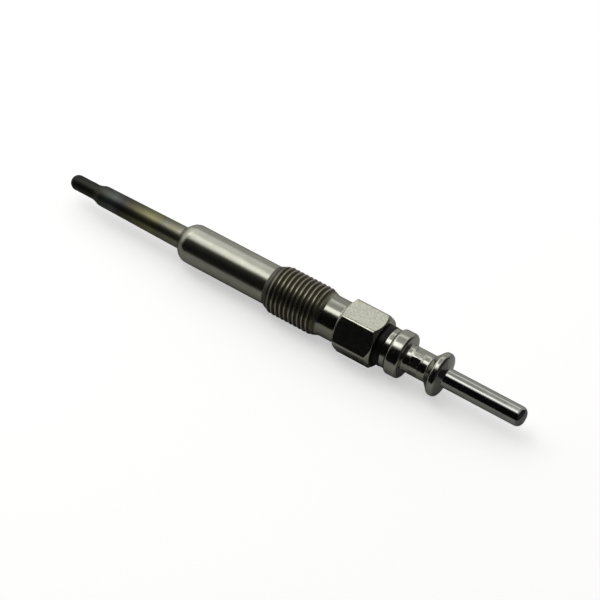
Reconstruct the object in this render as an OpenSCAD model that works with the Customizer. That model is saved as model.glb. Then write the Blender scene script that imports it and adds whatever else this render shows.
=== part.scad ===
// Diesel glow plug with a push-on pin terminal, built as ten separate pieces.
// Millimetres. The axis lies along X with the terminal towards +X, and Z is up.
// The origin is on the axis, at the middle of the thread. One hexagon flat faces down.

/* [Thread] */
// Outer diameter of the mounting thread
thread_d = 10; // [9.6:0.1:10.6]
// Axial step of one turn of the thread
thread_pitch = 1; // [0.75:0.05:1.25]
// Number of turns of the thread at full diameter
thread_turns = 9; // [7:1:12]
// Length of the tapered start of the thread, towards the tip
lead_len = 2.04; // [1.2:0.02:2.6]
// Length of the tapered end of the thread, towards the hexagon
runout_len = 1.84; // [1.2:0.02:2.6]

/* [Shell] */
// Diameter of the plain shank ahead of the thread
shank_d = 8.1; // [7.6:0.1:8.6]
// Length of the shank with its sealing nose
shank_len = 21.3; // [19.5:0.1:26]
// Slope of the sealing cone against the axis, in degrees
seat_angle = 45; // [38:1:52]
// Radius that blends the sealing cone into the shank
seat_blend_r = 2.8; // [1.6:0.1:3]
// Diameter of the relief neck between thread and hexagon
neck_d = 8.6; // [8:0.1:9.2]
// Length of the relief neck
neck_len = 3.8; // [2.5:0.1:6]
// Hexagon size across its flats
hex_af = 10; // [9.8:0.1:10.8]
// Diameter to which the hexagon's corners are turned
hex_corner_d = 11.3; // [11.2:0.05:11.5]
// Length of the hexagon with its chamfers
hex_len = 8.3; // [7.5:0.1:11]
// Depth of the hexagon's front chamfer along the axis
hex_front_chamfer = 0.5; // [0.2:0.05:0.8]
// Depth of the hexagon's rear chamfer along the axis
hex_rear_chamfer = 0.8; // [0.4:0.05:1.2]
// Diameter of the recess at the rear that takes the O-ring and the bush
recess_d = 6.2; // [5.6:0.1:6.6]

/* [Glow tube] */
// Diameter of the tube where the shell grips it
tube_d = 4.7; // [4.5:0.05:5]
// Diameter of the tube behind its stepped tip
tube_front_d = 4.25; // [4.1:0.05:4.45]
// Length of the tube in front of the shell
tube_reach = 27.6; // [26:0.1:32]
// Length of the tube inside the shell
tube_grip = 18; // [15:0.1:19]
// Diameter of the stepped tip
tip_d = 3.2; // [3:0.05:3.4]
// Length of the stepped tip with its rounded end
tip_len = 6.3; // [5:0.1:7.5]
// Length of the cone between tip and tube
step_len = 1.5; // [0.8:0.1:2]
// Wall of the tube
tube_wall = 0.5; // [0.4:0.02:0.55]

/* [Heater] */
// Diameter of the resistance wire
wire_d = 0.3; // [0.22:0.02:0.34]
// Diameter of both coils at the middle of the wire
coil_d = 1.4; // [1.3:0.02:1.5]
// Number of turns of the heating coil
heating_turns = 14; // [8:1:15]
// Axial step of one turn of the heating coil
heating_pitch = 0.62; // [0.5:0.02:0.66]
// Number of turns of the regulating coil
regulating_turns = 13; // [8:1:15]
// Axial step of one turn of the regulating coil
regulating_pitch = 0.75; // [0.5:0.05:0.85]
// Length of the straight joint between the two coils
joint_len = 1; // [0.8:0.1:1.2]

/* [Stud] */
// Diameter of the stud in the shell and the terminal
stud_d = 3.2; // [3:0.1:3.4]
// Diameter of the stud inside the glow tube
stud_front_d = 2.4; // [2.2:0.1:2.8]
// Length of the thin spigot that carries the rear end of the regulating coil
spigot_len = 2.4; // [1.5:0.1:4]

/* [Seals and bush] */
// Length of the rubber seal in the open end of the glow tube
seal_len = 2; // [1.5:0.1:3]
// Diameter of the flange of the insulating bush
bush_flange_d = 8.2; // [7.6:0.1:8.6]
// Thickness of the flange of the insulating bush
bush_flange_t = 1.6; // [1:0.1:2]
// Length of the bush inside the shell
bush_spigot_len = 2.4; // [1.6:0.1:3]

/* [Terminal] */
// Diameter of the shoulder that presses on the bush
shoulder_d = 8.1; // [7.6:0.05:8.4]
// Length of that shoulder
shoulder_len = 1.2; // [0.8:0.05:1.6]
// Diameter of the collar
collar_d = 9.3; // [9:0.05:9.6]
// Length of the collar with its rounded edges
collar_len = 2.9; // [2.4:0.1:4]
// Diameter of the crimped neck
crimp_neck_d = 5.6; // [5.3:0.05:6]
// Length of the crimped neck
crimp_neck_len = 4.8; // [3.8:0.1:6]
// Number of flats that the crimping tool leaves
crimp_count = 6; // [4:1:8]
// Length of one crimp flat
crimp_len = 1.9; // [1.2:0.1:2.2]
// Depth of one crimp flat
crimp_depth = 0.15; // [0.08:0.01:0.25]
// Turn of the first crimp flat from the top towards the front, in degrees
crimp_turn = 48; // [0:1:60]
// Diameter of the locking flange behind the pin
flange_d = 8.9; // [8.5:0.05:9.3]
// Diameter of the push-on pin
pin_d = 4; // [3.9:0.02:4.1]
// Length of the push-on pin
pin_len = 16.9; // [14:0.1:20]

/* [Hidden] */
$fn = 96;

// Steps in each quarter of a rounded edge, in each turn of a coil, and sides of the coil's wire
arc_steps = 8;
coil_steps = 16;
wire_sides = 6;

// Clearances between pieces
coil_gap = 0.06;
bush_gap = 0.05;
ring_gap = 0.02;
end_gap = 0.3;
stud_air_gap = 0.5;

// Radii
thread_r = thread_d / 2;
shank_r = shank_d / 2;
neck_r = neck_d / 2;
tube_r = tube_d / 2;
tube_front_r = tube_front_d / 2;
tip_r = tip_d / 2;
wire_r = wire_d / 2;
coil_r = coil_d / 2;
stud_r = stud_d / 2;
stud_front_r = stud_front_d / 2;
spigot_r = coil_r - wire_r - coil_gap;
recess_r = recess_d / 2;
stud_bore_r = stud_r + stud_air_gap;
shoulder_r = shoulder_d / 2;
collar_r = collar_d / 2;
crimp_neck_r = crimp_neck_d / 2;
flange_r = flange_d / 2;
pin_r = pin_d / 2;

// Section of the thread: flat crests and roots, and flanks that stand 60 degrees apart
thread_depth = 0.6134 * thread_pitch;
crest_len = thread_pitch / 8;
flank_len = thread_depth * tan(30);
root_len = thread_pitch - crest_len - 2 * flank_len;
thread_len = thread_turns * thread_pitch + crest_len;

// Stations of the shell along the axis
x_thread = thread_len / 2;
x_shank = -x_thread - lead_len;
x_nose = x_shank - shank_len;
x_neck = x_thread + runout_len;
x_hex = x_neck + neck_len;
x_rear = x_hex + hex_len;

// Stations of the glow tube
x_tip = x_nose - tube_reach;
x_step = x_tip + tip_len;
x_tube = x_step + step_len;
x_tube_end = x_nose + tube_grip;
x_seal = x_tube_end - end_gap - seal_len;

// Stations of the coils: the first turn touches the inside of the rounded tip
tip_bore_r = tip_r - tube_wall;
x_coil = x_tip + tip_r - sqrt(pow(tip_bore_r - wire_r, 2) - pow(coil_r, 2));
x_joint = x_coil + heating_turns * heating_pitch;
x_regulating = x_joint + joint_len;
x_coil_end = x_regulating + regulating_turns * regulating_pitch;

// Stations of the stud
x_stud = x_coil_end + wire_r + coil_gap;
x_stud_step = x_tube_end + stud_air_gap;

// Stations of the recess at the rear of the shell
ring_wire_r = (recess_r - stud_r) / 2 - ring_gap;
x_bush = x_rear - bush_spigot_len;
x_ring = x_bush - ring_wire_r;
x_recess = x_ring - ring_wire_r - ring_gap;

// Stations of the terminal
x_terminal = x_rear + bush_flange_t;
x_collar = x_terminal + shoulder_len;
x_crimp = x_collar + collar_len;
x_flare = x_crimp + crimp_neck_len;
flare_len = 2.1;
rim_len = 0.4;
face_len = 1.1;
x_rim = x_flare + flare_len;
x_pin = x_rim + rim_len + face_len;
x_end = x_pin + pin_len;
x_stud_end = x_flare + end_gap;

// Step from the hexagon's flats down to the edge of its rear face
rear_face_step = 0.1;

// Rounded edges
collar_front_round = collar_r - shoulder_r;
collar_rear_round = 0.6;
neck_fillet = 0.4;
hex_fillet = 0.3;
rim_round = 0.7;
pin_fillet = 0.3;
pin_round = 1.3;
bush_round = 0.2;
stud_chamfer = 0.3;

// Points of an arc in a profile, from angle a to angle b
function arc(cx, cr, r, a, b) =
    [for (i = [0 : arc_steps]) let (t = a + (b - a) * i / arc_steps) [cx + r * cos(t), cr + r * sin(t)]];

// A solid of revolution about X, from a profile of [along the axis, radius] points
module turned(profile) {
    rotate([0, 90, 0])
        rotate_extrude()
            polygon([for (p = profile) [p[1], p[0]]]);
}

// A plain round bar about X
module bar(x0, x1, r) {
    translate([x0, 0, 0])
        rotate([0, 90, 0])
            cylinder(h = x1 - x0, r = r);
}

// Outline of the glow tube, moved inwards by inset
function tube_outline(inset) = concat(
    arc(x_tip + tip_r, 0, tip_r - inset, 180, 90),
    [
        [x_step, tip_r - inset],
        [x_tube, tube_front_r - inset],
        [x_nose, tube_r - inset]
    ]);

// The two coils are one winding: u counts its turns
joint_turn = 2 / coil_steps;
u_joint = heating_turns + joint_turn / 2;
u_end = heating_turns + joint_turn + regulating_turns;

function coil_x(u) =
    u < heating_turns ? x_coil + u * heating_pitch :
    u < heating_turns + joint_turn ? x_joint + (u - heating_turns) / joint_turn * joint_len :
    x_regulating + (u - heating_turns - joint_turn) * regulating_pitch;

function coil_point(u) = [coil_x(u), coil_r * cos(360 * u), coil_r * sin(360 * u)];

function coil_ring(u) =
    let (
        half_step = 0.5 / coil_steps,
        run = coil_point(u + half_step) - coil_point(u - half_step),
        along = run / norm(run),
        outward = [0, cos(360 * u), sin(360 * u)],
        side = cross(along, outward)
    )
    [for (k = [0 : wire_sides - 1])
        let (a = 360 * k / wire_sides)
        coil_point(u) + wire_r * (cos(a) * outward + sin(a) * side)];

// The round wire of one coil, swept from turn u0 to turn u1
module winding(u0, u1) {
    count = round((u1 - u0) * coil_steps);
    rings = [for (i = [0 : count]) coil_ring(u0 + i / coil_steps)];
    points = [for (ring = rings) for (p = ring) p];
    sides = [for (i = [0 : count - 1]) for (k = [0 : wire_sides - 1])
        let (
            next = (k + 1) % wire_sides,
            a = i * wire_sides + k,
            b = i * wire_sides + next,
            c = a + wire_sides,
            d = b + wire_sides
        )
        each [[a, c, b], [b, c, d]]];
    front = [for (k = [0 : wire_sides - 1]) k];
    back = [for (k = [wire_sides - 1 : -1 : 0]) count * wire_sides + k];
    polyhedron(points = points, faces = concat(sides, [front, back]));
}

// Profile of one turn of the thread from x: crest, flank, root and flank. The turns are drawn as rings.
function thread_turn(x) = [
    [x, thread_r],
    [x + crest_len, thread_r],
    [x + crest_len + flank_len, thread_r - thread_depth],
    [x + crest_len + flank_len + root_len, thread_r - thread_depth]
];

// Outside of the shell without its hexagon
module shell_body() {
    blend_x = seat_blend_r * sin(seat_angle);
    blend_rise = seat_blend_r * (1 - cos(seat_angle));
    x_blend = x_nose + (shank_r - blend_rise - tube_r) / tan(seat_angle) + blend_x;
    turned(concat(
        [[x_nose, 0], [x_nose, tube_r]],
        arc(x_blend, shank_r - seat_blend_r, seat_blend_r, 90 + seat_angle, 90),
        [[x_shank, shank_r]],
        [for (i = [0 : thread_turns - 1]) each thread_turn(-x_thread + i * thread_pitch)],
        [[x_thread - crest_len, thread_r], [x_thread, thread_r], [x_neck, neck_r]],
        arc(x_hex - hex_fillet, neck_r + hex_fillet, hex_fillet, 270, 360),
        [[x_hex + hex_fillet, neck_r + hex_fillet], [x_hex + hex_fillet, 0]]));
}

// Hexagon with turned corners and a chamfer at each end
module hexagon() {
    across_corners_r = hex_af / 2 / cos(30);
    corner_r = hex_corner_d / 2;
    flat_r = hex_af / 2;
    front_r = flat_r - hex_front_chamfer / 2;
    rear_r = flat_r - rear_face_step;
    intersection() {
        translate([x_hex, 0, 0])
            rotate([0, 90, 0])
                rotate([0, 0, 30])
                    cylinder(h = hex_len, r = across_corners_r, $fn = 6);
        turned([
            [x_hex, 0],
            [x_hex, front_r],
            [x_hex + hex_front_chamfer, corner_r],
            [x_rear - hex_rear_chamfer, corner_r],
            [x_rear, rear_r],
            [x_rear, 0]
        ]);
    }
}

module shell() {
    color("silver")
        difference() {
            union() {
                shell_body();
                hexagon();
            }
            bar(x_nose - end_gap, x_tube_end, tube_r);
            bar(x_tube_end - end_gap, x_recess + end_gap, stud_bore_r);
            bar(x_recess, x_rear + end_gap, recess_r);
        }
}

module glow_tube() {
    color("dimgray")
        difference() {
            turned(concat(tube_outline(0), [[x_tube_end, tube_r], [x_tube_end, 0]]));
            turned(concat(tube_outline(tube_wall),
                [[x_tube_end + end_gap, tube_r - tube_wall], [x_tube_end + end_gap, 0]]));
        }
}

module heating_coil() {
    color("orangered")
        winding(0, u_joint);
}

module regulating_coil() {
    color("gold")
        winding(u_joint, u_end);
}

// Room for the coils in the powder: two ring-shaped channels and a slot for the joint between them
module coil_room() {
    inner_r = coil_r - wire_r - coil_gap;
    outer_r = coil_r + wire_r + coil_gap;
    lead = wire_r + coil_gap;
    slot_y = coil_r * cos(360 * joint_turn) - lead;
    turned([
        [x_coil - lead, inner_r],
        [x_coil - lead, outer_r],
        [x_joint + lead, outer_r],
        [x_joint + lead, inner_r]
    ]);
    turned([
        [x_regulating - lead, inner_r],
        [x_regulating - lead, outer_r],
        [x_stud + end_gap, outer_r],
        [x_stud + end_gap, inner_r]
    ]);
    translate([x_joint, slot_y, -outer_r / 2])
        cube([joint_len, outer_r - slot_y, 1.5 * outer_r]);
}

module filling_powder() {
    color("white")
        difference() {
            turned(concat(tube_outline(tube_wall), [[x_seal, tube_r - tube_wall], [x_seal, 0]]));
            coil_room();
            bar(x_stud - spigot_len, x_stud + end_gap, coil_r);
            bar(x_stud, x_seal + end_gap, stud_front_r);
        }
}

module tube_seal() {
    color("darkslategray")
        difference() {
            bar(x_seal, x_seal + seal_len, tube_r - tube_wall);
            bar(x_seal - end_gap, x_seal + seal_len + end_gap, stud_front_r);
        }
}

module terminal_stud() {
    color("lightsteelblue")
        turned([
            [x_stud - spigot_len, 0],
            [x_stud - spigot_len, spigot_r],
            [x_stud, spigot_r],
            [x_stud, stud_front_r],
            [x_stud_step, stud_front_r],
            [x_stud_step + stud_chamfer, stud_r],
            [x_stud_end - stud_chamfer, stud_r],
            [x_stud_end, stud_r - stud_chamfer],
            [x_stud_end, 0]
        ]);
}

module o_ring() {
    color("black")
        translate([x_ring, 0, 0])
            rotate([0, 90, 0])
                rotate_extrude()
                    translate([(recess_r + stud_r) / 2, 0])
                        circle(r = ring_wire_r);
}

module insulating_bush() {
    flange_r = bush_flange_d / 2;
    bore_r = stud_r + bush_gap;
    color("dimgray")
        turned(concat(
            [[x_bush, bore_r], [x_bush, recess_r - bush_gap], [x_rear, recess_r - bush_gap]],
            arc(x_rear + bush_round, flange_r - bush_round, bush_round, 180, 90),
            arc(x_terminal - bush_round, flange_r - bush_round, bush_round, 90, 0),
            [[x_terminal, bore_r]]));
}

// The turned blank of the terminal: shoulder, collar, neck, flange and pin
module terminal_blank() {
    x_face = x_rim + rim_len;
    turned(concat(
        [[x_terminal, 0], [x_terminal, shoulder_r]],
        arc(x_collar + collar_front_round, shoulder_r, collar_front_round, 180, 90),
        arc(x_crimp - collar_rear_round, collar_r - collar_rear_round, collar_rear_round, 90, 0),
        arc(x_crimp + neck_fillet, crimp_neck_r + neck_fillet, neck_fillet, 180, 270),
        [[x_flare, crimp_neck_r]],
        arc(x_rim, flange_r - rim_round, rim_round, 135, 90),
        arc(x_face, flange_r - rim_round, rim_round, 90, 30),
        arc(x_pin + pin_fillet, pin_r + pin_fillet, pin_fillet, 210, 270),
        arc(x_end - pin_round, pin_r - pin_round, pin_round, 90, 0),
        [[x_end, 0]]));
}

module terminal() {
    flat_r = crimp_neck_r - crimp_depth;
    x_flat = x_crimp + (crimp_neck_len - crimp_len) / 2;
    color("gainsboro")
        difference() {
            terminal_blank();
            bar(x_terminal - end_gap, x_stud_end + end_gap, stud_r);
            for (i = [0 : crimp_count - 1])
                rotate([crimp_turn + 360 * i / crimp_count, 0, 0])
                    translate([x_flat, -crimp_neck_r, flat_r])
                        cube([crimp_len, 2 * crimp_neck_r, crimp_neck_r]);
        }
}

shell();
glow_tube();
heating_coil();
regulating_coil();
filling_powder();
tube_seal();
terminal_stud();
o_ring();
insulating_bush();
terminal();
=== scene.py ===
"""Looks of the diesel glow plug: threaded shell, heat-tinted tube, black bush and bright terminal."""

import math

import bpy
from mathutils import Matrix, Vector


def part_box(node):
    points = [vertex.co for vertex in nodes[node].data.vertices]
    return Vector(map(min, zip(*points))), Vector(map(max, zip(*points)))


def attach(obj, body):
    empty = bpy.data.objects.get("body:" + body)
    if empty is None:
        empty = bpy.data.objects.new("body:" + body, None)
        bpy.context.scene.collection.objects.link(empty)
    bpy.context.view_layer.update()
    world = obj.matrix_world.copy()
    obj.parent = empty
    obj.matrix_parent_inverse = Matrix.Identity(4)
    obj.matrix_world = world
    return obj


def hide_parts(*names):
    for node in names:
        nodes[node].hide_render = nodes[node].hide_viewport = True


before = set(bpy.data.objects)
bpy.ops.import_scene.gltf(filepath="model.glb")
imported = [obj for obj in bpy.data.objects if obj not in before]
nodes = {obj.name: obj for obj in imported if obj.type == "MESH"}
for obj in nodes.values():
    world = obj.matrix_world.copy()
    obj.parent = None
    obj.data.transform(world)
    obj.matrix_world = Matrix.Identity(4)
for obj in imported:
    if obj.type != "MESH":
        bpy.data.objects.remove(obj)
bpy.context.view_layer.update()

MM = 0.001
TURN = 2 * math.pi

# Places along the axis that the solids give, in millimetres
x_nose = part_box("shell")[0].x / MM
x_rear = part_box("shell")[1].x / MM
x_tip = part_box("glow_tube")[0].x / MM
x_tube_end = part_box("glow_tube")[1].x / MM
x_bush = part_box("insulating_bush")[0].x / MM
x_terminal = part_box("terminal")[0].x / MM
x_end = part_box("terminal")[1].x / MM
x_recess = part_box("o_ring")[0].x / MM
x_stud_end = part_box("terminal_stud")[1].x / MM
floor_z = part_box("shell")[0].z

# Shell, in millimetres
THREAD_R = 5.0
THREAD_PITCH = 1.0
CREST_FLAT = THREAD_PITCH / 8
THREAD_LEN = 9 * THREAD_PITCH + CREST_FLAT
THREAD_DEPTH = 0.6134 * THREAD_PITCH
THREAD_TURN = math.radians(295)
FLANK_ANGLE = math.radians(30)
CREST_ROUND = 0.025
ROOT_ROUND = 0.12
LEAD_LEN = 2.04
RUNOUT_LEN = 1.84
SHANK_R = 4.05
SEAT_SLOPE = math.radians(45)
SEAT_BLEND_R = 2.8
NECK_R = 4.3
HEX_SIDES = 6
HEX_LEN = 8.3
HEX_FLAT_R = 5.0
HEX_CORNER_R = 5.65
HEX_FRONT_CHAMFER = 0.5
HEX_REAR_CHAMFER = 0.8
HEX_EDGE_CUT = 0.06
REAR_FACE_STEP = 0.1
CORNER_BLEND = 0.09
RECESS_R = 3.1
STUD_BORE_R = 2.1
BORE_EDGE_CUT = 0.05

# Glow tube, in millimetres
TUBE_R = 2.35
TUBE_FRONT_R = 2.125
TUBE_WALL = 0.5
TUBE_EDGE_CUT = 0.35
TIP_R = 1.6
TIP_LEN = 6.3
STEP_LEN = 1.5

# Bush, in millimetres
BUSH_FLANGE_R = 4.1
BUSH_GAP = 0.05
BUSH_EDGE_CUT = 0.2

# Terminal, in millimetres
STUD_R = 1.6
STUD_END_GAP = 0.3
SHOULDER_R = 4.05
SHOULDER_LEN = 1.2
SHOULDER_EDGE_CUT = 0.08
COLLAR_R = 4.65
COLLAR_LEN = 2.9
COLLAR_REAR_ROUND = 0.6
CRIMP_NECK_R = 2.8
CRIMP_NECK_LEN = 4.8
CRIMP_FILLET = 0.4
CRIMP_COUNT = 6
CRIMP_LEN = 1.9
CRIMP_DEPTH = 0.15
CRIMP_EDGE = 0.12
CRIMP_TURN = math.radians(48)
FLANGE_R = 4.45
FLARE_LEN = 2.1
FLARE_DELAY = 0.3
FLARE_FILLET = 0.6
RIM_LEN = 0.4
RIM_ROUND = 0.7
FACE_LEN = 1.1
PIN_R = 2.0
PIN_ROUND = 1.3
PIN_FILLET = 0.3

# Angles in degrees where the rim's rounding meets the flare and the rear face
RIM_START = 143
RIM_STOP = 30

# Distance in millimetres from a corner to a row of the mesh that keeps the bend in the shading close to it
CORNER_ROW = 0.12

# Fineness of the meshes
ARC_STEPS = 12
NOSE_STEPS = 16
TIP_STEPS = 20
CORNER_STEPS = 4
TUBE_CORNER_STEPS = 6
FLARE_STEPS = 10
CRIMP_STEPS = 80
STEPS_PER_PITCH = 24
ROUND_COLUMNS = 96
TERMINAL_COLUMNS = 144
NORMAL_WEIGHT = 80
ON_AXIS = 1e-9

# The largest share of a straight that the rounding of one of its ends takes up
CUT_SHARE = 0.4

x_thread = THREAD_LEN / 2
x_shank = -x_thread - LEAD_LEN
x_neck = x_thread + RUNOUT_LEN
x_hex = x_rear - HEX_LEN
x_collar = x_terminal + SHOULDER_LEN
x_crimp = x_collar + COLLAR_LEN
x_flare = x_crimp + CRIMP_NECK_LEN
x_rim = x_flare + FLARE_LEN
x_face = x_rim + RIM_LEN
x_pin = x_face + FACE_LEN
x_flat = x_crimp + (CRIMP_NECK_LEN - CRIMP_LEN) / 2


def smooth_min(a, b, k):
    """The smaller of two values, with the corner between them rounded over k."""
    gap = max(k - abs(a - b), 0.0)
    return min(a, b) - gap * gap / (4 * k)


def arc(cx, cr, r, start, stop, steps=ARC_STEPS):
    """Points of an arc in an outline, between two angles in degrees."""
    points = []
    for i in range(steps + 1):
        t = math.radians(start + (stop - start) * i / steps)
        points.append((cx + r * math.cos(t), cr + r * math.sin(t)))
    return points


def soften(points, cut, steps=CORNER_STEPS):
    """An outline with each inner corner replaced by a small curve that starts cut before it."""
    out = [points[0]]
    for before, here, after in zip(points, points[1:], points[2:]):
        p = Vector(here)
        a = Vector(before) - p
        b = Vector(after) - p
        a = a * min(cut / a.length, CUT_SHARE)
        b = b * min(cut / b.length, CUT_SHARE)
        for i in range(steps + 1):
            t = i / steps
            q = p + a * (1 - t) ** 2 + b * t ** 2
            out.append((q.x, q.y))
    out.append(points[-1])
    return out


def revolve(name, outline, angles, closed):
    """A mesh round the X axis from outline(angle), a list of (along the axis, radius) in millimetres.

    A closed outline joins its last point to its first. Any other starts and ends on the axis.
    """
    columns = [outline(a) for a in angles]
    rows = len(columns[0])
    verts = []
    index = []
    for i in range(rows):
        if columns[0][i][1] < ON_AXIS:
            verts.append((columns[0][i][0] * MM, 0.0, 0.0))
            index.append([len(verts) - 1] * len(angles))
            continue
        ring = []
        for a, column in zip(angles, columns):
            x, r = column[i]
            ring.append(len(verts))
            verts.append((x * MM, r * math.cos(a) * MM, r * math.sin(a) * MM))
        index.append(ring)
    faces = []
    for i in range(rows if closed else rows - 1):
        low = index[i]
        high = index[(i + 1) % rows]
        for k in range(len(angles)):
            n = (k + 1) % len(angles)
            loop = [low[k], low[n], high[n], high[k]]
            faces.append(list(dict.fromkeys(loop)))
    mesh = bpy.data.meshes.new(name)
    mesh.from_pydata(verts, [], faces)
    mesh.update()
    for polygon in mesh.polygons:
        polygon.use_smooth = True
    piece = bpy.data.objects.new(name, mesh)
    bpy.context.scene.collection.objects.link(piece)
    weighted = piece.modifiers.new("even_normals", "WEIGHTED_NORMAL")
    weighted.weight = NORMAL_WEIGHT
    return piece


def even_angles(count):
    """That many angles round the axis, in radians."""
    return [TURN * k / count for k in range(count)]


# Shell
def thread_radius(x, angle):
    """Radius of the right-hand thread, with rounded crests and roots."""
    phase = (x / THREAD_PITCH - (angle - THREAD_TURN) / TURN) % 1.0
    from_crest = abs(phase - 0.5) * THREAD_PITCH
    flank = THREAD_R - (from_crest - CREST_FLAT / 2) / math.tan(FLANK_ANGLE)
    crest = smooth_min(THREAD_R, flank, CREST_ROUND)
    return -smooth_min(-crest, -(THREAD_R - THREAD_DEPTH), ROOT_ROUND)


def thread_blank(x):
    """Radius of the turned bar that the thread is cut into."""
    lead = SHANK_R + (x - x_shank) / LEAD_LEN * (THREAD_R - SHANK_R)
    runout = NECK_R + (x_neck - x) / RUNOUT_LEN * (THREAD_R - NECK_R)
    return min(lead, runout, THREAD_R)


def hex_radius(angle):
    """Radius of the hexagon with turned corners. Flats face up and down."""
    sector = TURN / HEX_SIDES
    from_flat = angle % sector - sector / 2
    return smooth_min(HEX_FLAT_R / math.cos(from_flat), HEX_CORNER_R, CORNER_BLEND)


def seat_outline():
    """The nose: a sealing cone that a large rounding joins to the shank."""
    rise = SEAT_BLEND_R * (1 - math.cos(SEAT_SLOPE))
    cone_len = (SHANK_R - rise - TUBE_R) / math.tan(SEAT_SLOPE)
    x_blend = x_nose + cone_len + SEAT_BLEND_R * math.sin(SEAT_SLOPE)
    steepest = 90 + math.degrees(SEAT_SLOPE)
    return [(x_nose, TUBE_R)] + arc(x_blend, SHANK_R - SEAT_BLEND_R, SEAT_BLEND_R, steepest, 90, NOSE_STEPS)


def thread_outline(angle):
    """The thread at an angle, from the shank over the lead and the run-out to the neck."""
    steps = round((x_neck - x_shank) / THREAD_PITCH * STEPS_PER_PITCH)
    points = []
    for i in range(steps + 1):
        x = x_shank + (x_neck - x_shank) * i / steps
        points.append((x, smooth_min(thread_blank(x), thread_radius(x, angle), CREST_ROUND)))
    return points


def hex_outline(angle):
    """The hexagon at an angle, from the fillet at its front to its rear face."""
    h = hex_radius(angle)
    front_r = HEX_FLAT_R - HEX_FRONT_CHAMFER / 2
    rear_r = HEX_FLAT_R - REAR_FACE_STEP
    x_front = x_hex + HEX_FRONT_CHAMFER * (h - front_r) / (HEX_CORNER_R - front_r)
    x_back = x_rear - HEX_REAR_CHAMFER * (h - rear_r) / (HEX_CORNER_R - rear_r)
    fillet = front_r - NECK_R
    front = arc(x_hex - fillet, front_r, fillet, 270, 360)
    corners = [front[-1], (x_front, h), (x_back, h), (x_rear, rear_r), (x_rear, RECESS_R)]
    return front + soften(corners, HEX_EDGE_CUT)[1:-1]


def shell_outline(angle):
    """The shell at an angle, from the nose along the outside and back through the bore."""
    neck = [(x_neck + CORNER_ROW, NECK_R)]
    outside = seat_outline() + thread_outline(angle) + neck + hex_outline(angle)
    inside = soften([
        outside[-1],
        (x_rear, RECESS_R),
        (x_recess, RECESS_R),
        (x_recess, STUD_BORE_R),
        (x_tube_end, STUD_BORE_R),
        (x_tube_end, TUBE_R),
        (x_nose + CORNER_ROW, TUBE_R),
    ], BORE_EDGE_CUT)
    return outside + inside[1:]


# Columns of the shell, closer together at the hexagon's corners. SECTOR and CORNER_HALF are in degrees
SECTOR = 360 // HEX_SIDES
CORNER_HALF = 8
FLAT_STEPS = 16
shell_angles = []
for corner in range(0, 360, SECTOR):
    for step in range(-CORNER_HALF, CORNER_HALF):
        shell_angles.append(math.radians(corner + step))
    for step in range(FLAT_STEPS):
        past_corner = CORNER_HALF + (SECTOR - 2 * CORNER_HALF) * step / FLAT_STEPS
        shell_angles.append(math.radians(corner + past_corner))

shell = revolve("shell_turned", shell_outline, shell_angles, True)
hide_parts("shell")
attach(shell, "root")


# Glow tube
def tube_outline(angle):
    """The tube, the same at every angle: from the tip along the outside and back along the inside."""
    x_step = x_tip + TIP_LEN
    x_tube = x_step + STEP_LEN
    tip = arc(x_tip + TIP_R, 0, TIP_R, 180, 90, TIP_STEPS)
    tip[0] = (x_tip, 0.0)
    corners = [tip[-1], (x_step, TIP_R), (x_tube, TUBE_FRONT_R), (x_nose, TUBE_R), (x_tube_end, TUBE_R)]
    outer = tip + soften(corners, TUBE_EDGE_CUT, TUBE_CORNER_STEPS)[1:]
    inner = [
        (x_tube_end, TUBE_R - TUBE_WALL),
        (x_nose, TUBE_R - TUBE_WALL),
        (x_tube, TUBE_FRONT_R - TUBE_WALL),
        (x_step, TIP_R - TUBE_WALL),
    ]
    inner += arc(x_tip + TIP_R, 0, TIP_R - TUBE_WALL, 90, 180)
    inner[-1] = (x_tip + TUBE_WALL, 0.0)
    return outer + inner


tube = revolve("tube_drawn", tube_outline, even_angles(ROUND_COLUMNS), False)
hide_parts("glow_tube")
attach(tube, "root")


# Insulating bush
def bush_outline(angle):
    """The bush, the same at every angle: from the middle of its front face along the outside and the bore."""
    bore_r = STUD_R + BUSH_GAP
    spigot_r = RECESS_R - BUSH_GAP
    middle = (x_bush, (bore_r + spigot_r) / 2)
    return soften([
        middle,
        (x_bush, spigot_r),
        (x_rear, spigot_r),
        (x_rear, BUSH_FLANGE_R),
        (x_terminal, BUSH_FLANGE_R),
        (x_terminal, bore_r),
        (x_bush, bore_r),
        middle,
    ], BUSH_EDGE_CUT)[:-1]


bush = revolve("bush_moulded", bush_outline, even_angles(ROUND_COLUMNS), True)
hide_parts("insulating_bush")
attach(bush, "root")


# Terminal
def crimp_radius(x, angle):
    """Radius of the neck, with a shallow flat pressed in at each place of the crimping tool."""
    first = math.radians(90) + CRIMP_TURN
    spacing = TURN / CRIMP_COUNT
    from_flat = (angle - first + spacing / 2) % spacing - spacing / 2
    pressed = min((CRIMP_NECK_R - CRIMP_DEPTH) / math.cos(from_flat), CRIMP_NECK_R)
    inside = min((x - x_flat) / CRIMP_EDGE, (x_flat + CRIMP_LEN - x) / CRIMP_EDGE)
    share = min(max(inside + 0.5, 0.0), 1.0)
    return CRIMP_NECK_R + (pressed - CRIMP_NECK_R) * share


def collar_outline():
    """The shoulder and the collar with its rounded edges, down to the fillet at the neck."""
    front_round = COLLAR_R - SHOULDER_R
    rear_round = COLLAR_REAR_ROUND
    points = soften([
        (x_terminal, STUD_R),
        (x_terminal, SHOULDER_R),
        (x_collar - CORNER_ROW, SHOULDER_R),
    ], SHOULDER_EDGE_CUT)
    points += arc(x_collar + front_round, SHOULDER_R, front_round, 180, 90)
    points += arc(x_crimp - rear_round, COLLAR_R - rear_round, rear_round, 90, 0)
    points += arc(x_crimp + CRIMP_FILLET, CRIMP_NECK_R + CRIMP_FILLET, CRIMP_FILLET, 180, 270)
    return points


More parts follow.
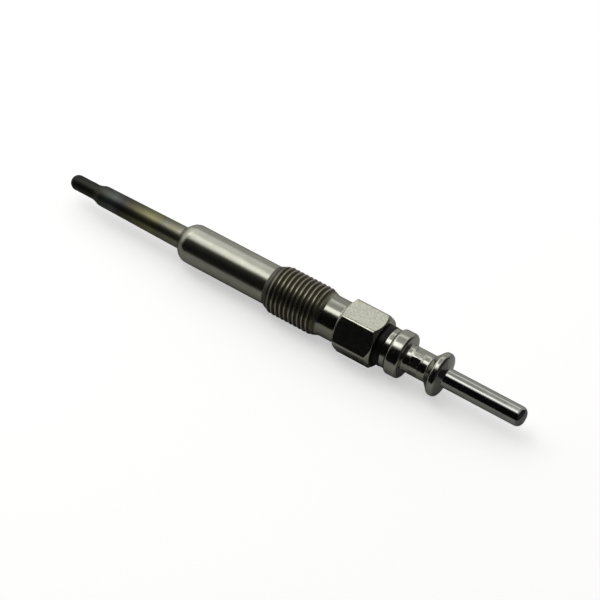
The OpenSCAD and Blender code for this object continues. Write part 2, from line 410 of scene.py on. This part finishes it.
def flange_outline(angle):
    """The crimped neck at an angle, and the flare and rim of the locking flange."""
    x_cone = x_flare + FLARE_DELAY
    x_neck_start = x_crimp + CRIMP_FILLET
    x_neck_end = x_cone - FLARE_FILLET
    points = []
    for i in range(1, CRIMP_STEPS):
        x = x_neck_start + (x_neck_end - x_neck_start) * i / CRIMP_STEPS
        points.append((x, crimp_radius(x, angle)))
    rim = arc(x_rim, FLANGE_R - RIM_ROUND, RIM_ROUND, RIM_START, 90)
    rim += arc(x_face, FLANGE_R - RIM_ROUND, RIM_ROUND, 90, RIM_STOP)
    flare = [(x_neck_end, CRIMP_NECK_R), (x_cone, CRIMP_NECK_R), rim[0]]
    return points + soften(flare, FLARE_FILLET, FLARE_STEPS)[1:-1] + rim


def terminal_outline(angle):
    """The terminal at an angle, from the end of the stud's bore over the outside to the end of the pin."""
    bore_end = x_stud_end + STUD_END_GAP
    bore = [(bore_end, 0.0), (bore_end, STUD_R)]
    pin = arc(x_pin + PIN_FILLET, PIN_R + PIN_FILLET, PIN_FILLET, 180 + RIM_STOP, 270)
    pin += arc(x_end - PIN_ROUND, PIN_R - PIN_ROUND, PIN_ROUND, 90, 0)
    pin.append((x_end, 0.0))
    return bore + collar_outline() + flange_outline(angle) + pin


terminal = revolve("terminal_turned", terminal_outline, even_angles(TERMINAL_COLUMNS), False)
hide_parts("terminal")
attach(terminal, "root")

# Materials: the part of a noise's range that most of it lies in
NOISE_LOW = 0.3
NOISE_MIDDLE = 0.5
NOISE_HIGH = 0.7


class Paint:
    """A material's node tree, with short calls for the nodes that these finishes need."""

    def __init__(self, name):
        self.material = bpy.data.materials.new(name)
        self.material.use_nodes = True
        self.tree = self.material.node_tree
        self.shader = self.tree.nodes["Principled BSDF"]
        place = self.node("ShaderNodeTexCoord")
        scale = self.node("ShaderNodeVectorMath")
        scale.operation = "SCALE"
        scale.inputs["Scale"].default_value = 1 / MM
        self.link(place.outputs["Object"], scale.inputs[0])
        self.mm = scale.outputs[0]
        parts = self.node("ShaderNodeSeparateXYZ")
        self.link(self.mm, parts.inputs[0])
        self.x = parts.outputs[0]

    def node(self, kind):
        return self.tree.nodes.new(kind)

    def link(self, source, target):
        self.tree.links.new(source, target)

    def set(self, values):
        """Constant values for the shader's own sockets."""
        for key, value in values.items():
            self.shader.inputs[key].default_value = value

    def noise(self, stretch, detail=3.0, rough=0.55):
        """Noise in 0 to 1 with that many features per millimetre along X, Y and Z."""
        mapping = self.node("ShaderNodeMapping")
        mapping.inputs["Scale"].default_value = stretch
        self.link(self.mm, mapping.inputs["Vector"])
        noise = self.node("ShaderNodeTexNoise")
        noise.inputs["Scale"].default_value = 1.0
        noise.inputs["Detail"].default_value = detail
        noise.inputs["Roughness"].default_value = rough
        self.link(mapping.outputs[0], noise.inputs["Vector"])
        return noise.outputs["Fac"]

    def rings(self, per_mm):
        """Noise in rings round the axis, with that many features per millimetre of radius."""
        noise = self.node("ShaderNodeTexNoise")
        noise.noise_dimensions = "1D"
        noise.inputs["Scale"].default_value = per_mm
        noise.inputs["Detail"].default_value = 2.0
        self.link(self.radius(), noise.inputs["W"])
        return noise.outputs["Fac"]

    def radius(self):
        """Distance from the axis, in millimetres."""
        flat = self.node("ShaderNodeVectorMath")
        flat.operation = "MULTIPLY"
        flat.inputs[1].default_value = (0.0, 1.0, 1.0)
        self.link(self.mm, flat.inputs[0])
        length = self.node("ShaderNodeVectorMath")
        length.operation = "LENGTH"
        self.link(flat.outputs[0], length.inputs[0])
        return length.outputs["Value"]

    def math(self, operation, a, b):
        """An operation on two values, each of them a socket or a float."""
        made = self.node("ShaderNodeMath")
        made.operation = operation
        for socket, value in zip(made.inputs, (a, b)):
            if isinstance(value, float):
                socket.default_value = value
            else:
                self.link(value, socket)
        return made.outputs[0]

    def span(self, value, low, high, to_low=0.0, to_high=1.0):
        """The value, carried from one range to another and held at its ends."""
        mapped = self.node("ShaderNodeMapRange")
        mapped.inputs["From Min"].default_value = low
        mapped.inputs["From Max"].default_value = high
        mapped.inputs["To Min"].default_value = to_low
        mapped.inputs["To Max"].default_value = to_high
        self.link(value, mapped.inputs["Value"])
        return mapped.outputs[0]

    def along(self, none, full):
        """A share that is 0 at one place along the axis and 1 at the other, and is held past both."""
        return self.span(self.x, none, full)

    def band(self, start, end, fade):
        """A share that is 1 from start to end along the axis, and fades to 0 on both sides."""
        return self.math("MULTIPLY", self.along(start - fade, start), self.along(end + fade, end))

    def vary(self, noise, low, high):
        """A value that goes from low to high with a noise."""
        return self.span(noise, NOISE_LOW, NOISE_HIGH, low, high)

    def drift(self, noise, reach):
        """The place along the axis, in millimetres, moved to either side by a noise."""
        moved = self.math("MULTIPLY", self.math("SUBTRACT", noise, NOISE_MIDDLE), reach)
        return self.math("ADD", self.x, moved)

    def blend(self, share, a, b):
        """Value a to value b."""
        rest = self.math("SUBTRACT", 1.0, share)
        return self.math("ADD", self.math("MULTIPLY", a, rest), self.math("MULTIPLY", b, share))

    def mix(self, share, a, b):
        """Colour a to colour b."""
        made = self.node("ShaderNodeMix")
        made.data_type = "RGBA"
        self.link(share, made.inputs[0])
        for socket, value in zip((made.inputs[6], made.inputs[7]), (a, b)):
            if isinstance(value, tuple):
                socket.default_value = (*value, 1.0)
            else:
                self.link(value, socket)
        return made.outputs[2]

    def ramp(self, value, stops):
        """Colour from a list of (place, colour)."""
        made = self.node("ShaderNodeValToRGB")
        elements = made.color_ramp.elements
        while len(elements) < len(stops):
            elements.new(0.5)
        for element, (place, colour) in zip(elements, stops):
            element.position = place
            element.color = (*colour, 1.0)
        self.link(value, made.inputs[0])
        return made.outputs[0]

    def tones(self, noise, dark, light):
        """A colour that goes from dark to light with a noise."""
        return self.ramp(noise, [(NOISE_LOW, dark), (NOISE_HIGH, light)])

    def bump(self, height, depth_mm):
        """Relief of that depth, on top of any relief that the shader already has."""
        made = self.node("ShaderNodeBump")
        made.inputs["Distance"].default_value = depth_mm * MM
        self.link(height, made.inputs["Height"])
        if self.shader.inputs["Normal"].is_linked:
            earlier = self.shader.inputs["Normal"].links[0].from_socket
            self.link(earlier, made.inputs["Normal"])
        self.link(made.outputs[0], self.shader.inputs["Normal"])

    def colour(self, socket):
        self.link(socket, self.shader.inputs["Base Color"])

    def metallic(self, socket):
        self.link(socket, self.shader.inputs["Metallic"])

    def roughness(self, socket):
        self.link(socket, self.shader.inputs["Roughness"])

    def put_on(self, piece):
        piece.data.materials.clear()
        piece.data.materials.append(self.material)


# Marks on the shell, in millimetres from the place that each belongs to, with the depth of the dirt
HEX_FADE = 0.05
SHANK_FADE = 0.4
DULL_FADE = 0.1
WORN_BEFORE = 0.75
WORN_AFTER = 0.25
DIRT_START = 0.6
DIRT_FULL = 1.0
DIRT_END = 0.15
DIRT_FADE = 0.75
DIRT_DRIFT = 1.6
DIRT_SHALLOW = 0.08
DIRT_DEEP = 0.24

# How much of the metal shows through dirt, and the roughness that dirt and the shank add
DIRT_METALLIC = 0.95
DIRT_ROUGHNESS = 0.25
SHANK_ROUGHNESS = 0.08

# The narrower part of the noise that gives the hexagon's grain
SPECKLE_LOW = 0.36
SPECKLE_HIGH = 0.64


def shell_finish():
    """Satin nickel plating: turning lines, matt grained hexagon, dirt in the thread, small stains and painted
    shade that darkens the plating towards the neck.
    """
    paint = Paint("shell_plating")
    blotch = paint.noise((0.35, 0.7, 0.7), detail=4.0)
    lines = paint.noise((14.0, 0.15, 0.15), detail=2.0, rough=0.7)
    grain = paint.noise((5.0, 5.0, 5.0), detail=4.0, rough=0.65)
    speckle = paint.noise((1.8, 1.8, 1.8), detail=5.0, rough=0.75)

    front = paint.tones(blotch, (0.42, 0.422, 0.358), (0.48, 0.482, 0.412))
    # The plating is painted darker from the thread's middle to the neck: painted shade that dims the neck's
    # highlight
    neck = paint.tones(blotch, (0.365, 0.367, 0.312), (0.418, 0.42, 0.358))
    flats = paint.ramp(speckle, [(SPECKLE_LOW, (0.385, 0.385, 0.318)), (SPECKLE_HIGH, (0.625, 0.625, 0.537))])
    in_hex = paint.along(x_hex - HEX_FADE, x_hex + HEX_FADE)
    plating = paint.mix(in_hex, paint.mix(paint.along(0.0, x_neck), front, neck), flats)

    after_lead = paint.along(x_shank + DIRT_START, x_shank + DIRT_FULL)
    before_end = paint.span(paint.drift(grain, DIRT_DRIFT), x_neck - DIRT_END, x_neck - DIRT_FADE)
    in_thread = paint.math("MULTIPLY", after_lead, before_end)
    blank = paint.span(paint.x, x_shank, x_shank + LEAD_LEN, SHANK_R, THREAD_R)
    depth = paint.span(paint.math("SUBTRACT", blank, paint.radius()), DIRT_SHALLOW, DIRT_DEEP)
    dirt = paint.math("MULTIPLY", in_thread, depth)
    paint.metallic(paint.span(dirt, 0.0, 1.0, 1.0, DIRT_METALLIC))

    grime = paint.tones(grain, (0.100, 0.090, 0.062), (0.240, 0.218, 0.152))
    clean = paint.along(-x_thread - WORN_BEFORE, -x_thread + WORN_AFTER)
    worn = paint.mix(clean, (0.13, 0.125, 0.105), (0.47, 0.46, 0.385))
    dull = paint.math("MULTIPLY", paint.along(x_shank, x_shank + DULL_FADE), before_end)
    paint.colour(paint.mix(dirt, paint.mix(dull, plating, worn), grime))

    on_shank = paint.along(x_shank + SHANK_FADE, x_shank)
    added = paint.math("MULTIPLY", on_shank, SHANK_ROUGHNESS)
    satin = paint.math("ADD", paint.vary(lines, 0.16, 0.18), added)
    level = paint.blend(in_hex, satin, paint.vary(grain, 0.16, 0.26))
    on_lead = paint.math("MULTIPLY", dull, paint.math("SUBTRACT", 1.0, clean))
    soiled = paint.math("MAXIMUM", dirt, on_lead)
    paint.roughness(paint.math("ADD", level, paint.math("MULTIPLY", soiled, DIRT_ROUGHNESS)))
    paint.bump(lines, 0.0002)
    paint.bump(grain, 0.0006)
    return paint


# Heat tint: how far its bands wander in millimetres, and the shares of the tube where its sheen changes
TINT_DRIFT = 3.5
SHEEN_START = 0.1
SHEEN_END = 0.9


def tube_finish():
    """Nickel alloy with heat tint: charred tip, blue-green, straw and then plain steel near the shell."""
    paint = Paint("tube_alloy")
    paint.set({"Metallic": 1.0})
    cloud = paint.noise((0.45, 0.8, 0.8), detail=4.0)
    lines = paint.noise((9.0, 0.2, 0.2), detail=2.0, rough=0.7)
    grain = paint.noise((8.0, 8.0, 8.0))
    place = paint.span(paint.drift(cloud, TINT_DRIFT), x_tip, x_nose)
    paint.colour(paint.ramp(place, [
        (0.00, (0.034, 0.033, 0.028)),
        (0.23, (0.044, 0.044, 0.037)),
        (0.32, (0.085, 0.083, 0.068)),
        (0.395, (0.102, 0.122, 0.114)),
        (0.48, (0.068, 0.062, 0.062)),
        (0.57, (0.108, 0.101, 0.062)),
        (0.76, (0.230, 0.225, 0.112)),
        (0.82, (0.185, 0.178, 0.118)),
        (0.86, (0.212, 0.212, 0.174)),
        (0.93, (0.250, 0.240, 0.162)),
        (1.00, (0.290, 0.280, 0.226)),
    ]))
    sheen = paint.span(place, SHEEN_START, SHEEN_END, 0.50, 0.34)
    paint.roughness(paint.math("ADD", sheen, paint.vary(grain, -0.05, 0.05)))
    paint.bump(lines, 0.0015)
    paint.bump(grain, 0.0020)
    return paint


def bush_finish():
    """Black moulded plastic, slightly glossy, with faint handling marks."""
    paint = Paint("bush_plastic")
    paint.set({"Specular IOR Level": 0.18})
    grain = paint.noise((12.0, 12.0, 12.0))
    smear = paint.noise((0.8, 0.8, 0.8), detail=4.0)
    paint.colour(paint.tones(smear, (0.004, 0.004, 0.0045), (0.009, 0.009, 0.010)))
    paint.roughness(paint.vary(smear, 0.30, 0.42))
    paint.bump(grain, 0.0020)
    return paint


# Painted shade before the collar and other marks on the terminal, in millimetres, and the change in roughness
# on its pin
COLLAR_SHADE_WIDTH = 0.16
COLLAR_SHADE_FADE = 0.06
DENT_FADE = 0.5
PIN_ROUGHNESS = -0.06


def terminal_finish():
    """Bright nickel plating on a turned piece: turning lines, painted shade in the corner before the collar,
    a dented crimp.
    """
    paint = Paint("terminal_plating")
    paint.set({"Metallic": 1.0})
    lines = paint.noise((16.0, 0.15, 0.15), detail=2.0, rough=0.7)
    smear = paint.noise((0.5, 0.9, 0.9), detail=4.0)
    grain = paint.noise((6.0, 6.0, 6.0))
    dents = paint.noise((1.1, 1.3, 1.3), detail=2.0)
    warm = paint.tones(smear, (0.42, 0.42, 0.365), (0.49, 0.49, 0.43))
    pale = paint.tones(smear, (0.405, 0.41, 0.385), (0.465, 0.47, 0.44))
    on_pin = paint.along(x_face, x_pin)
    # A near-black band on the shoulder just before the collar is painted shade in that corner
    in_collar_shade = paint.band(x_collar - COLLAR_SHADE_WIDTH, x_collar, COLLAR_SHADE_FADE)
    paint.colour(paint.mix(in_collar_shade, paint.mix(on_pin, warm, pale), (0.03, 0.03, 0.026)))
    polish = paint.math("ADD", paint.vary(smear, 0.13, 0.19), paint.math("MULTIPLY", on_pin, PIN_ROUGHNESS))
    paint.roughness(paint.math("ADD", polish, paint.vary(lines, -0.02, 0.04)))
    paint.bump(lines, 0.0004)
    paint.bump(grain, 0.0004)
    on_crimp = paint.band(x_flat, x_flat + CRIMP_LEN, DENT_FADE)
    paint.bump(paint.math("MULTIPLY", dents, on_crimp), 0.10)
    paint.bump(paint.rings(9.0), 0.0010)
    return paint


def wire_finish(name, dull, bright):
    """Drawn resistance wire, slightly oxidised."""
    paint = Paint(name)
    paint.set({"Metallic": 1.0})
    cloud = paint.noise((1.5, 1.5, 1.5), detail=4.0)
    paint.colour(paint.tones(cloud, dull, bright))
    paint.roughness(paint.vary(cloud, 0.45, 0.30))
    paint.bump(paint.noise((20.0, 20.0, 20.0)), 0.0010)
    return paint


def stud_finish():
    """Drawn steel rod."""
    paint = Paint("stud_steel")
    paint.set({"Metallic": 1.0})
    streak = paint.noise((0.2, 6.0, 6.0))
    paint.colour(paint.tones(streak, (0.38, 0.38, 0.37), (0.48, 0.48, 0.47)))
    paint.roughness(paint.vary(streak, 0.24, 0.36))
    paint.bump(streak, 0.0010)
    return paint


def powder_finish():
    """Compacted magnesia."""
    paint = Paint("magnesia_fill")
    grain = paint.noise((7.0, 7.0, 7.0), detail=5.0, rough=0.65)
    paint.colour(paint.tones(grain, (0.72, 0.71, 0.67), (0.84, 0.83, 0.80)))
    paint.roughness(paint.vary(grain, 0.80, 0.95))
    paint.bump(grain, 0.010)
    return paint


def rubber_finish(name, dark, light):
    """Matt moulded rubber."""
    paint = Paint(name)
    grain = paint.noise((9.0, 9.0, 9.0), detail=4.0)
    paint.colour(paint.tones(grain, dark, light))
    paint.roughness(paint.vary(grain, 0.55, 0.75))
    paint.bump(grain, 0.0030)
    return paint


shell_finish().put_on(shell)
tube_finish().put_on(tube)
bush_finish().put_on(bush)
terminal_finish().put_on(terminal)
wire_finish("heating_wire", (0.25, 0.23, 0.21), (0.38, 0.36, 0.34)).put_on(nodes["heating_coil"])
wire_finish("regulating_wire", (0.36, 0.33, 0.29), (0.50, 0.47, 0.43)).put_on(nodes["regulating_coil"])
stud_finish().put_on(nodes["terminal_stud"])
powder_finish().put_on(nodes["filling_powder"])
rubber_finish("seal_rubber", (0.045, 0.045, 0.045), (0.075, 0.075, 0.075)).put_on(nodes["tube_seal"])
rubber_finish("ring_rubber", (0.012, 0.012, 0.012), (0.026, 0.026, 0.026)).put_on(nodes["o_ring"])

# Stage, in metres: white floor, cards that the metal reflects, soft boxes and a plain world
PAPER_ROUGHNESS = 0.9
FLOOR_HALF = 3.0
FLOOR_FILL = 0.50
SHEET_GAP = 0.2 * MM


def flat_material(name, colour):
    """Matt paper."""
    made = bpy.data.materials.new(name)
    made.use_nodes = True
    shader = made.node_tree.nodes["Principled BSDF"]
    shader.inputs["Base Color"].default_value = (*colour, 1.0)
    shader.inputs["Roughness"].default_value = PAPER_ROUGHNESS
    shader.inputs["Specular IOR Level"].default_value = 0.0
    return made


def floor_material():
    """White paper. What the lamps leave it short of white is added where it is seen, so the shadow stays."""
    made = flat_material("floor_paper", (0.93, 0.93, 0.93))
    tree = made.node_tree
    path = tree.nodes.new("ShaderNodeLightPath")
    seen = path.outputs["Is Camera Ray"]
    for ray in ("Is Glossy Ray", "Is Transmission Ray"):
        either = tree.nodes.new("ShaderNodeMath")
        either.operation = "MAXIMUM"
        tree.links.new(seen, either.inputs[0])
        tree.links.new(path.outputs[ray], either.inputs[1])
        seen = either.outputs[0]
    level = tree.nodes.new("ShaderNodeMath")
    level.operation = "MULTIPLY"
    level.inputs[1].default_value = FLOOR_FILL
    tree.links.new(seen, level.inputs[0])
    shader = tree.nodes["Principled BSDF"]
    shader.inputs["Emission Color"].default_value = (1.0, 1.0, 1.0, 1.0)
    tree.links.new(level.outputs[0], shader.inputs["Emission Strength"])
    return made


def sheet(name, corners, material):
    """A flat four-sided stage piece."""
    mesh = bpy.data.meshes.new(name)
    mesh.from_pydata(corners, [], [(0, 1, 2, 3)])
    piece = bpy.data.objects.new(name, mesh)
    piece.data.materials.append(material)
    bpy.context.scene.collection.objects.link(piece)
    return piece


def level_sheet(name, x_range, y_range, z, material):
    """A sheet that lies level, between two places along X and two along Y."""
    left, right = x_range
    front, rear = y_range
    corners = [(left, front, z), (right, front, z), (right, rear, z), (left, rear, z)]
    return sheet(name, corners, material)


def upright_sheet(name, start, stop, top, material):
    """A sheet that stands on the floor, between two places given as (x, y)."""
    corners = [(*start, floor_z), (*stop, floor_z), (*stop, top), (*start, top)]
    return sheet(name, corners, material)


level_sheet("floor", (-FLOOR_HALF, FLOOR_HALF), (-FLOOR_HALF, FLOOR_HALF), floor_z, floor_material())

# Black card behind the camera that bends forward along the floor, for the dark band that such metal shows
CARD_HALF = 1.2
CARD_Y = -0.60
CARD_TOP = 1.10
CARD_FRONT = -0.027
CARD_Z = floor_z + SHEET_GAP
black_paper = flat_material("black_paper", (0.01, 0.01, 0.01))
upright_sheet("black_card", (-CARD_HALF, CARD_Y), (CARD_HALF, CARD_Y), CARD_TOP, black_paper)
black_foot = level_sheet("black_foot", (-CARD_HALF, CARD_HALF), (CARD_Y, CARD_FRONT), CARD_Z, black_paper)

# Grey card under the part
GREY_HALF = 0.30
grey_paper = flat_material("grey_paper", (0.49, 0.49, 0.47))
grey_card = level_sheet("grey_card", (-GREY_HALF, GREY_HALF), (CARD_FRONT, GREY_HALF), CARD_Z, grey_paper)

# Dark card to the right that bends along the floor, for the dark rear faces
SIDE_X = 0.35
SIDE_FOOT = x_end * MM
SIDE_BACK = 0.7
SIDE_Z = CARD_Z + SHEET_GAP
dark_paper = flat_material("dark_paper", (0.070, 0.066, 0.072))
dim_paper = flat_material("dim_paper", (0.27, 0.265, 0.265))
side_card = upright_sheet("side_card", (SIDE_X, CARD_Y), (SIDE_X, SIDE_BACK), CARD_TOP, dark_paper)
side_foot = level_sheet("side_foot", (SIDE_FOOT, SIDE_X), (CARD_FRONT, SIDE_BACK), SIDE_Z, dim_paper)

# These would darken the pale floor that the camera sees, so they show in reflections only
for card in (black_foot, grey_card, side_card, side_foot):
    card.visible_camera = False
    card.visible_shadow = False
    card.visible_diffuse = False

# Edges of the soft boxes, round a dark gap that splits the highlight on the bright metal
BOX_HEIGHT = 0.5
BOX_LEFT = -0.70
BOX_RIGHT = -0.045
BOX_FRONT = -0.210
BOX_BACK = 0.60
FRONT_LEFT = -0.24
GAP_LEFT = -0.205
GAP_RIGHT = -0.066
GAP_FRONT = -0.012
GAP_BACK = 0.33
PIN_LEFT = -0.115
PIN_FRONT = -0.175
FAR_RIGHT = -0.31
FAR_FRONT = -0.12
TONGUE_BACK = 0.10
SIDE_LOW = 0.12

# Radiance of the soft boxes
FRONT_LEVEL = 1.85
PIN_LEVEL = 1.45
BACK_LEVEL = 0.60
FAR_LEVEL = 1.20
TONGUE_LEVEL = 1.75
LEFT_LEVEL = 0.66
RIGHT_LEVEL = 1.40
SIDE_LEVEL = 0.40


def soft_box(name, place, width, depth, level):
    """A rectangular lamp of that radiance, which shines down."""
    lamp = bpy.data.lights.new(name, "AREA")
    lamp.shape = "RECTANGLE"
    lamp.size = width
    lamp.size_y = depth
    lamp.energy = level * math.pi * width * depth
    made = bpy.data.objects.new(name, lamp)
    made.location = place
    bpy.context.scene.collection.objects.link(made)
    return made


def overhead(name, x_range, y_range, level):
    """A soft box in the level plane above the part, between two places along X and two along Y."""
    place = (sum(x_range) / 2, sum(y_range) / 2, BOX_HEIGHT)
    soft_box(name, place, x_range[1] - x_range[0], y_range[1] - y_range[0], level)


overhead("soft_box_front", (FRONT_LEFT, PIN_LEFT), (BOX_FRONT, GAP_FRONT), FRONT_LEVEL)
overhead("soft_box_pin", (PIN_LEFT, BOX_RIGHT), (PIN_FRONT, GAP_FRONT), PIN_LEVEL)
overhead("soft_box_back", (BOX_LEFT, BOX_RIGHT), (GAP_BACK, BOX_BACK), BACK_LEVEL)
overhead("soft_box_far", (BOX_LEFT, FAR_RIGHT), (FAR_FRONT, GAP_FRONT), FAR_LEVEL)
overhead("soft_box_tongue", (BOX_LEFT, GAP_LEFT), (GAP_FRONT, TONGUE_BACK), TONGUE_LEVEL)
overhead("soft_box_left", (BOX_LEFT, GAP_LEFT), (TONGUE_BACK, GAP_BACK), LEFT_LEVEL)
overhead("soft_box_right", (GAP_RIGHT, BOX_RIGHT), (GAP_FRONT, GAP_BACK), RIGHT_LEVEL)

# One more soft box stands upright on the left and is turned to face right
side_place = (BOX_LEFT, (BOX_FRONT + BOX_BACK) / 2, (SIDE_LOW + BOX_HEIGHT) / 2)
upright = soft_box("soft_box_side", side_place, BOX_HEIGHT - SIDE_LOW, BOX_BACK - BOX_FRONT, SIDE_LEVEL)
upright.rotation_euler.y = math.radians(-90)

WORLD_COLOUR = (0.46, 0.46, 0.45)
world = bpy.data.worlds.new("plain_world")
bpy.context.scene.world = world
world.use_nodes = True
world.node_tree.nodes["Background"].inputs["Color"].default_value = (*WORLD_COLOUR, 1.0)

# Camera, at the photograph's viewing angle: the axis runs down to the right, with the terminal nearer
PHOTO_PX = 600
FOCAL_PX = 2000.0
PX_PER_MM = 5.204
SENSOR_WIDTH = 36.0
AXIS_TO_IMAGE = math.radians(20.12)
VIEW_HEIGHT = math.radians(48.87)
AXIS_IN_IMAGE = math.radians(27.92)
AIM_X = -0.25 * MM
back = Vector((
    math.sin(AXIS_TO_IMAGE),
    -math.cos(AXIS_TO_IMAGE) * math.cos(VIEW_HEIGHT),
    math.cos(AXIS_TO_IMAGE) * math.sin(VIEW_HEIGHT),
))
along = (Vector((1, 0, 0)) - back * back.x).normalized()
across = back.cross(along)
right = along * math.cos(AXIS_IN_IMAGE) + across * math.sin(AXIS_IN_IMAGE)
up = across * math.cos(AXIS_IN_IMAGE) - along * math.sin(AXIS_IN_IMAGE)
camera_data = bpy.data.cameras.new("camera")
camera_data.sensor_width = SENSOR_WIDTH
camera_data.lens = FOCAL_PX / PHOTO_PX * SENSOR_WIDTH
camera = bpy.data.objects.new("camera", camera_data)
turn = Matrix((right, up, back)).transposed().to_4x4()
place = Vector((AIM_X, 0, 0)) + back * (FOCAL_PX / PX_PER_MM * MM)
camera.matrix_world = Matrix.Translation(place) @ turn
bpy.context.scene.collection.objects.link(camera)
bpy.context.scene.camera = camera

bpy.context.scene.view_settings.view_transform = "Standard"
